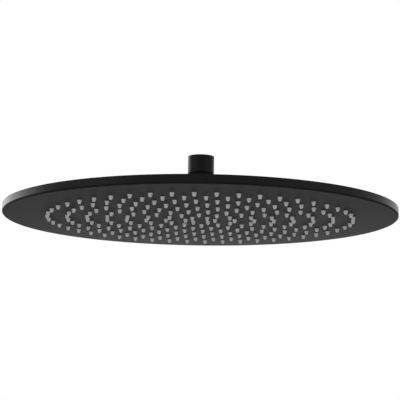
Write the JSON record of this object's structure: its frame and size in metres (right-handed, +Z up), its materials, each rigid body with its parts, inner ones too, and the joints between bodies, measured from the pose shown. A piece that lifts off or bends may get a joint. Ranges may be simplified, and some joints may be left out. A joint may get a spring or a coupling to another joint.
{
  "type": "rain shower head",
  "caption": "Slim round rain shower head in matt black with grey silicone nozzles in concentric rings, hung on a ball swivel with a threaded pipe inlet.",
  "frame": {"origin": "on the stem axis where the inlet thread starts, just inside the stem's mouth", "axes": "+Z up along the stem towards the supply pipe; the spray face looks down -Z; X is the axis of the tilt"},
  "size_m": [0.4, 0.4, 0.0685],
  "materials": {
    "black_coat": "matte",
    "nozzle_silicone": "matte",
    "seal_rubber": "matte",
    "screen_steel": "satin",
    "regulator_plastic": "satin",
    "nylon": "satin",
    "retainer_plastic": "satin",
    "bare_brass": "satin"
  },
  "bodies": {
    "inlet": {"inlet_fitting": "black_coat", "inlet_washer": "seal_rubber", "filter_screen": "screen_steel", "flow_regulator": "regulator_plastic", "regulator_ring": "seal_rubber"},
    "seat": {"ball_liner": "nylon"},
    "head": {"swivel_collar": "black_coat", "ball_seal": "seal_rubber", "lower_seat": "nylon", "head_boss": "black_coat", "boss_gasket": "seal_rubber", "boss_nut": "bare_brass", "back_shell": "black_coat", "rim_seal": "seal_rubber", "face_plate": "black_coat", "nozzle_mat": "nozzle_silicone", "mat_retainer": "retainer_plastic"}
  },
  "joints": [
    {"name": "swivel_turn", "type": "hinge", "parent": "inlet", "child": "seat", "pos_m": [0, 0, -0.0257], "axis": [0, 0, 1], "continuous": true},
    {"name": "swivel_tilt", "type": "hinge", "parent": "seat", "child": "head", "pos_m": [0, 0, -0.0257], "axis": [1, 0, 0], "range_deg": [-7, 7]}
  ]
}
